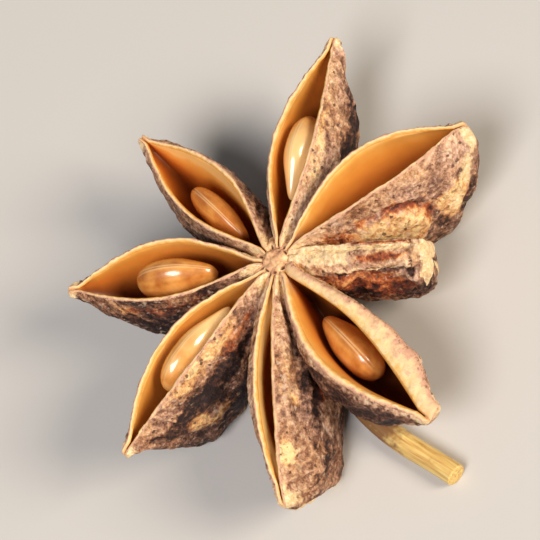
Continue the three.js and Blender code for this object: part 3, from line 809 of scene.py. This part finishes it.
def seed_material():
    # Seed coat: a hard, smooth shell like varnished wood, amber caramel, with a coat gloss. Its
    # underside is painted darker and redder, as shade, and its cream end is partly painted glare.
    material, tree, shader = new_material("seed_coat", {
        "Roughness": 0.28, "IOR": 1.5, "Coat Weight": 1.0, "Coat Roughness": 0.13})
    place = add_node(tree, "TexCoord", {}, "Object")
    streak, tone, height, ridge, cream_and_glare, scar = (
        add_node(tree, "Attribute", {}, "Fac", attribute_name=name)
        for name in ("streak", "tone", "height", "ridge", "cream_and_glare", "scar"))
    clouds = add_node(tree, "TexNoise", {
        "Vector": place, "Scale": per_metre(1.8), "Detail": 4.0, "Roughness": 0.55})
    lightness = add_node(tree, "Math", [clouds, tone])
    streaks = add_node(tree, "MapRange", [streak, -1.0, 1.0, -0.14, 0.14])
    lightness = add_node(tree, "Math", [lightness, streaks])
    amber = add_node(tree, "ValToRGB", [lightness], stops=[
        (0.25, "#b2672a"), (0.5, "#da9548"), (0.75, "#ecb56c")])
    uneven = add_node(tree, "MapRange", [clouds, 0.3, 0.7, -0.2, 0.2])
    up = add_node(tree, "Math", [height, uneven])
    # Painted shade, darker and redder towards the underside; pale ridges; cream that is partly painted
    # glare; the scar.
    for share, layer in (
            (add_node(tree, "MapRange", [up, 0.2, -0.8, 0.0, 0.7]), "#a2501c"),
            (add_node(tree, "MapRange", [ridge, 0.2, 1.0, 0.0, 0.6]), "#f3cf9a"),
            (cream_and_glare, "#fbda96"), (scar, "#6b3a17")):
        amber = add_node(tree, "Mix", {0: share, 6: amber, 7: linear(layer)}, 2, data_type="RGBA")
    tree.links.new(amber, shader.inputs["Base Color"])
    return material


def read_points(piece):
    """The places of a piece's vertices, three numbers in a row for each."""
    points = np.empty(len(piece.data.vertices) * 3, np.float32)
    piece.data.vertices.foreach_get("co", points)
    return points.reshape(-1, 3)


seed_finish = seed_material()
for number, (name, sizes) in enumerate(SEEDS.items()):
    boat = {**USUAL_BOAT, **BOATS[name]}
    seed = {**USUAL_SEED, **sizes}
    bpy.ops.mesh.primitive_uv_sphere_add(segments=96, ring_count=64, radius=1)
    piece = bpy.context.object
    piece.name = piece.data.name = "seed_coat_" + name
    ball = read_points(piece).astype(float)
    along, across, height = ball[:, 2], ball[:, 1], -ball[:, 0]

    # The ball's circles become an egg's, blunt towards the beak and tapered towards the column.
    circle = np.maximum(1 - along ** 2, 1e-9)
    power = SEED_POINTED + (SEED_BLUNT - SEED_POINTED) * ease(-0.6, 0.6, along)
    girth = np.sqrt(np.maximum(1 - np.abs(along) ** power, 0) / circle)
    taper = SEED_TAPER * (2 if seed["sharp"] else 1)
    girth = girth * (1 + SEED_EGG * along) * (1 - taper * ease(0.1, -1, along))
    ridges = [hill(across, middle, SEED_RIDGE_SPREAD) for middle in (SEED_RIDGE_PLACE, -SEED_RIDGE_PLACE)]
    ridge = np.maximum.reduce(ridges) * (height > 0) * circle ** 0.5
    scar = hill(along, -1, 0.12) * (0.2 if seed["sharp"] else 1)
    x = SEED_LENGTH * seed["long"] * (along + 0.05 * scar)
    y = SEED_THICKNESS * seed["thick"] * girth * across * (1 - 0.08 * height)
    z = SEED_HEIGHT * girth * height + SEED_RIDGE_HEIGHT * ridge
    lumps = [noise.noise(Vector(spot)) for spot in ball * 1.3 + (0, 0, number)]
    scale = seed["scale"] * (1 + SEED_UNEVEN * np.array(lumps))

    # It rolls with its boat, and lies below the mouth.
    out, aside, up = lip_line(boat, seed["station"])
    lean = lean_at(boat, seed["station"])
    roll = math.atan(lean)
    y, z = y * math.cos(roll) - z * math.sin(roll), y * math.sin(roll) + z * math.cos(roll)
    left = y * scale + aside + seed["aside"] + lean * seed["down"]
    place_points(piece, in_frame(boat, x * scale + out, left, z * scale + up - seed["down"]) * MM)

    drawn_out = np.stack([along * 0.7, across * 5, height * 5 + 3 * number], axis=1)
    streak = np.array([noise.noise(Vector(spot)) for spot in drawn_out])
    cream_end = seed["cream_and_glare"]
    cream_and_glare = CREAM_AND_GLARE_STRENGTH * ease(cream_end + 0.5, cream_end - 0.5, along + 0.25 * streak)
    for mark, values in (
            ("ridge", ridge), ("scar", scar), ("tone", np.full(len(ball), seed["tone"])),
            ("height", height), ("streak", streak), ("cream_and_glare", cream_and_glare)):
        mark_points(piece, mark, values)
    piece.data.materials.append(seed_finish)
    close_and_smooth(piece)
    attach(piece, "root")
    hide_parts("seed_" + name)

# ---- The column ----
# The short core that the boats grew round. Its top is a lumpy star of dry, corky tissue, with a
# small lobe at each boat's root and short cracks between them. Its foot carries on as the stalk.
COLUMN_FOOT, COLUMN_TOP = 3.0, 7.9  # heights
COLUMN_FOOT_RADIUS, COLUMN_TOP_RADIUS = 1.5, 0.8
# Lumps are (out from the axis, radius, height): a lobe at each boat's root, two that web each gap
# between boats, and one in the middle.
LOBES = [(0.62, 0.50, 7.98), (0.70, 0.42, 7.93), (0.60, 0.47, 8.02), (0.72, 0.40, 7.95),
         (0.64, 0.48, 7.96), (0.68, 0.43, 8.0), (0.58, 0.50, 7.97), (0.74, 0.38, 7.93)]
WEBS = [(1.25, 0.5, 7.72), (1.8, 0.4, 7.45)]
CENTRE = (0.0, 0.62, 7.86)
LOBE_VOXEL = 0.14  # grid on which the lumps are fused
CORK_LUMP, CORK_RELIEF = 0.45, 0.22  # size and height of the tissue's own lumps
CRACK_DEPTH, CRACK_SPREAD = 0.14, 0.08


def column_material():
    # Column top: dry, corky tissue, peach-tan, with painted shade darkening the cracks between its lobes.
    material, tree, shader = new_material("corky_column", {"Roughness": 0.8})
    place = add_node(tree, "TexCoord", {}, "Object")
    crack = add_node(tree, "Attribute", {}, "Fac", attribute_name="crack")
    cork = add_node(tree, "TexNoise", {
        "Vector": place, "Scale": per_metre(0.6), "Detail": 5.0, "Roughness": 0.65})
    tissue = add_node(tree, "ValToRGB", [cork], stops=[
        (0.32, "#9a6244"), (0.46, "#cd986e"), (0.58, "#e4b682"), (0.7, "#f1d09d")])
    crack_shaded = add_node(tree, "Mix", {0: crack, 6: tissue, 7: linear("#5c3620")}, 2, data_type="RGBA")
    tree.links.new(crack_shaded, shader.inputs["Base Color"])
    bump = add_node(tree, "Bump", {"Height": cork, "Strength": 0.6, "Distance": 0.1 * MM})
    tree.links.new(bump, shader.inputs["Normal"])
    return material


def arc_from(azimuth, radius, turn):
    """How far points lie to either side of an azimuth, along the circles that they are on."""
    return radius * np.abs(np.angle(np.exp(1j * (turn - math.radians(azimuth)))))


bpy.ops.mesh.primitive_cone_add(
    vertices=48, radius1=COLUMN_FOOT_RADIUS * MM, radius2=COLUMN_TOP_RADIUS * MM,
    depth=(COLUMN_TOP - COLUMN_FOOT) * MM,
    location=(AXIS_X * MM, AXIS_Y * MM, (COLUMN_FOOT + COLUMN_TOP) / 2 * MM))
column = bpy.context.object
azimuths = [sizes["azimuth"] for sizes in BOATS.values()]
between = [
    first + (second - first) % 360 / 2
    for first, second in zip(azimuths, azimuths[1:] + azimuths[:1])]
lumps_at = list(zip(azimuths, LOBES)) + [(middle, web) for middle in between for web in WEBS]
lumps = []
for azimuth, (out, radius, up) in lumps_at + [(0, CENTRE)]:
    turn = math.radians(azimuth)
    bpy.ops.mesh.primitive_uv_sphere_add(segments=24, ring_count=16, radius=radius * MM, location=(
        (AXIS_X + out * math.cos(turn)) * MM, (AXIS_Y + out * math.sin(turn)) * MM, up * MM))
    lumps.append(bpy.context.object)
for lump in lumps:
    lump.select_set(True)
column.select_set(True)
bpy.context.view_layer.objects.active = column
bpy.ops.object.join()
bpy.ops.object.transform_apply(location=True, rotation=True, scale=True)
column.name = column.data.name = "column"
fused = column.modifiers.new("fused", "REMESH")
fused.mode = "VOXEL"
fused.voxel_size = LOBE_VOXEL * MM
rounded = column.modifiers.new("rounded", "SUBSURF")
rounded.levels = rounded.render_levels = 2
cork_lumps = bpy.data.textures.new("cork_lumps", "CLOUDS")
cork_lumps.noise_scale = CORK_LUMP * MM
cork_lumps.noise_depth = 3
lumpy = column.modifiers.new("lumpy", "DISPLACE")
lumpy.texture = cork_lumps
lumpy.texture_coords = "GLOBAL"
lumpy.strength = CORK_RELIEF * MM
lumpy.mid_level = 0.5
for modifier in ("fused", "rounded", "lumpy"):
    bpy.ops.object.modifier_apply(modifier=modifier)

# A crack runs inwards between each two boats, and a shorter one across each boat's root.
axis = np.array([AXIS_X, AXIS_Y, 0])
spots = read_points(column) / MM - axis
radius = np.hypot(spots[:, 0], spots[:, 1])
turn = np.arctan2(spots[:, 1], spots[:, 0])
broken = np.array([noise.noise(Vector((x * 1.6, y * 1.6, 3.3))) for x, y in spots[:, :2]])
crack = np.zeros(len(spots))
for number, (azimuth, middle) in enumerate(zip(azimuths, between)):
    odd = number % 2
    inwards = hill(arc_from(middle, radius, turn), 0, CRACK_SPREAD)
    inwards = inwards * hill(radius, 1.05 + 0.06 * (number % 3), 0.2)
    across = hill(radius, 0.9 + 0.05 * odd, 0.07)
    across = across * hill(arc_from(azimuth, radius, turn), 0, 0.2 - 0.08 * odd)
    crack = np.maximum.reduce([crack, inwards, across])
on_top = ease(6.8, 7.4, spots[:, 2])
crack = np.clip(crack * 1.4 + 0.3 * broken, 0, 1) * ease(0.15, 0.4, crack) * on_top
spots[:, 2] -= CRACK_DEPTH * crack
place_points(column, (spots + axis) * MM)
# The same crack mark sets where painted shade darkens the colour.
mark_points(column, "crack", crack)
column.data.materials.append(column_material())
bpy.ops.object.shade_smooth()
column.select_set(False)
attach(column, "root")
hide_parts("husk")

# ---- The stalk ----
# The fruit's own stem, dried hard. It leaves the foot of the column, bends down and lies along
# the ground under the south boat, with lengthwise fibres and a clean cut end.
STALK_RADIUS = 0.83
# From the star's axis: east, north and up.
STALK_ROUTE = [
    (0, 0, 4.6), (-0.7, -1.5, 2.5), (-2.2, -5.0, 1.1), (-2.9, -10.1, 0.8), (-1.65, -17.8, 0.8)]
STALK_STEPS = 140
STALK_SIDES = 64
FIBRES_AROUND, FIBRES_ALONG = 4.2, 5.0  # how finely the fibres' pattern is drawn, each way
STEM_SWELL, GROOVE_RELIEF = 0.04, 0.045  # shares of the radius
CUT_RINGS = [(0.05, 0.04), (0.25, 0.03), (0.3, 0.0)]  # of the cut end: inwards, outwards
SHARP_EDGE = math.radians(40)


def stalk_material():
    # Stalk: dried woody stem, straw yellow with darker lengthwise fibres, browner at the pod, partly as
    # painted shadow from the south boat.
    material, tree, shader = new_material("dry_stem", {"Roughness": 0.62})
    place = add_node(tree, "TexCoord", {}, "Object")
    fibre_place = add_node(tree, "Attribute", {}, "Vector", attribute_name="fibre_place")
    along = add_node(tree, "Attribute", {}, "Fac", attribute_name="along")
    fibres = add_node(tree, "TexNoise", {
        "Vector": fibre_place, "Scale": 1.0, "Detail": 5.0, "Roughness": 0.65})
    straw = add_node(tree, "ValToRGB", [fibres], stops=[
        (0.3, "#a5743a"), (0.43, "#d0a359"), (0.56, "#e5c576"), (0.72, "#f4dd97")])
    blotches = add_node(tree, "TexNoise", {
        "Vector": place, "Scale": per_metre(1.2), "Detail": 5.0, "Roughness": 0.7})
    # Browner towards the pod: brown blotches, partly painted shadow under the south boat.
    near_pod = add_node(tree, "MapRange", [along, 0.55, 0.85, 0.62, 0.0])
    brown = add_node(tree, "Math", [blotches, near_pod])
    brown = add_node(tree, "MapRange", [brown, 0.6, 0.85, 0.0, 0.88])
    browned_and_shaded = add_node(tree, "Mix", {0: brown, 6: straw, 7: linear("#7a4c2b")}, 2, data_type="RGBA")
    tree.links.new(browned_and_shaded, shader.inputs["Base Color"])
    bump = add_node(tree, "Bump", {"Height": fibres, "Strength": 0.5, "Distance": 0.08 * MM})
    tree.links.new(bump, shader.inputs["Normal"])
    return material


bpy.ops.curve.primitive_bezier_curve_add()
route = bpy.context.object
bends = route.data.splines[0].bezier_points
bends.add(len(STALK_ROUTE) - len(bends))
for bend, (east, north, up) in zip(bends, STALK_ROUTE):
    bend.co = Vector((AXIS_X + east, AXIS_Y + north, up)) * MM
    bend.handle_left_type = bend.handle_right_type = "AUTO"
route.data.resolution_u = 24
route.data.twist_mode = "Z_UP"
route.select_set(False)
stalk_length = route.data.splines[0].calc_length()

# The stem is drawn out straight, cut across, grooved and then bent along its route.
bpy.ops.mesh.primitive_circle_add(
    vertices=STALK_SIDES, radius=STALK_RADIUS * MM, fill_type="NGON", rotation=(0, math.pi / 2, 0))
stalk = bpy.context.object
stalk.name = stalk.data.name = "stalk"
bpy.ops.object.transform_apply(location=False, rotation=True, scale=False)
bpy.ops.object.mode_set(mode="EDIT")
bpy.ops.mesh.select_all(action="SELECT")
for step in range(STALK_STEPS):
    bpy.ops.mesh.extrude_region_move(TRANSFORM_OT_translate={"value": (stalk_length / STALK_STEPS, 0, 0)})
for inwards, outwards in CUT_RINGS:
    bpy.ops.mesh.inset(thickness=inwards * MM)
    bpy.ops.transform.translate(value=(outwards * MM, 0, 0))
bpy.ops.mesh.select_all(action="SELECT")
bpy.ops.mesh.normals_make_consistent(inside=False)
bpy.ops.object.mode_set(mode="OBJECT")
stem_sizes = (stalk_length, STALK_RADIUS * MM, STALK_RADIUS * MM)
spots = read_points(stalk) / stem_sizes
thickness = np.array([
    0.97 + STEM_SWELL * noise.noise(Vector((x * 9, 0.5, 0)))
    + GROOVE_RELIEF * noise.noise(Vector((y * 4, z * 4, 2.5)))
    for x, y, z in spots])
grooved = spots * stem_sizes
grooved[:, 1:] *= thickness[:, None]
place_points(stalk, grooved)
mark_points(stalk, "along", spots[:, 0])
fibre_place = spots * (FIBRES_ALONG, FIBRES_AROUND, FIBRES_AROUND)
attribute = stalk.data.attributes.new("fibre_place", "FLOAT_VECTOR", "POINT")
attribute.data.foreach_set("vector", fibre_place.reshape(-1).astype(np.float32))
bent = stalk.modifiers.new("bent", "CURVE")
bent.object = route
bpy.ops.object.modifier_apply(modifier="bent")
bpy.data.objects.remove(route)
lying = read_points(stalk)
lying[:, 2] = np.maximum(lying[:, 2], 0)
place_points(stalk, lying)
stalk.data.materials.append(stalk_material())
bpy.ops.object.shade_smooth_by_angle(angle=SHARP_EDGE)
stalk.select_set(False)
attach(stalk, "root")
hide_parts("husk")

# ---- Floor, light and camera ----
# A plain pale table top in a dim, pale room. A large warm light stands in the south-east and a
# weaker, cooler one higher up in the south-west. The camera looks down from the south.
bpy.ops.mesh.primitive_plane_add(size=1.2)
floor = bpy.context.object
floor.name = "table_top"
floor.select_set(False)
# Table top: board with matt paint, pale and warm grey, which mirrors nothing.
floor_finish = new_material("matt_table", {"Base Color": linear("#c9c4bc"), "Roughness": 0.9})[0]
floor.data.materials.append(floor_finish)


def soft_light(name, place, size, power, colour):
    """A round light, at a place and of a size in metres, that points at the pod."""
    light = bpy.data.lights.new(name, "AREA")
    light.shape = "DISK"
    light.size = size
    light.energy = power
    light.color = linear(colour)[:3]
    lamp = bpy.data.objects.new(name, light)
    bpy.context.scene.collection.objects.link(lamp)
    lamp.location = place
    pod_middle = Vector((0, 0, 0.004))
    lamp.rotation_euler = (pod_middle - Vector(place)).to_track_quat("-Z", "Y").to_euler()


soft_light("key", (0.48, -0.57, 0.5), 0.4, 7.9, "#fff4e4")
soft_light("window", (-0.28, -0.26, 0.58), 0.35, 3.9, "#fbfaff")
world = bpy.data.worlds.new("pale_room")
world.use_nodes = True
room = world.node_tree.nodes["Background"]
room.inputs["Color"].default_value = linear("#e4e6ea")
room.inputs["Strength"].default_value = 0.16
bpy.context.scene.world = world
bpy.context.scene.view_settings.view_transform = "Standard"

ELEVATION = 58.0  # degrees above the table
ROLL = 45.0  # degrees round the line of sight
FRAMED_WIDTH = 37.3  # across the view, at the boats' lips
LENS, SENSOR = 200.0, 36.0
camera_data = bpy.data.cameras.new("camera")
camera_data.lens = LENS
camera_data.sensor_width = SENSOR
camera_data.clip_start = 0.01
camera = bpy.data.objects.new("camera", camera_data)
bpy.context.scene.collection.objects.link(camera)
tilted = Matrix.Rotation(math.radians(90 - ELEVATION), 4, "X")
turned = tilted @ Matrix.Rotation(math.radians(-ROLL), 4, "Z")
aim = Vector((AXIS_X - 0.72, AXIS_Y - 0.22, 8.16)) * MM
distance = FRAMED_WIDTH * MM * LENS / SENSOR
camera.matrix_world = Matrix.Translation(aim + turned.to_3x3() @ Vector((0, 0, distance))) @ turned
bpy.context.scene.camera = camera
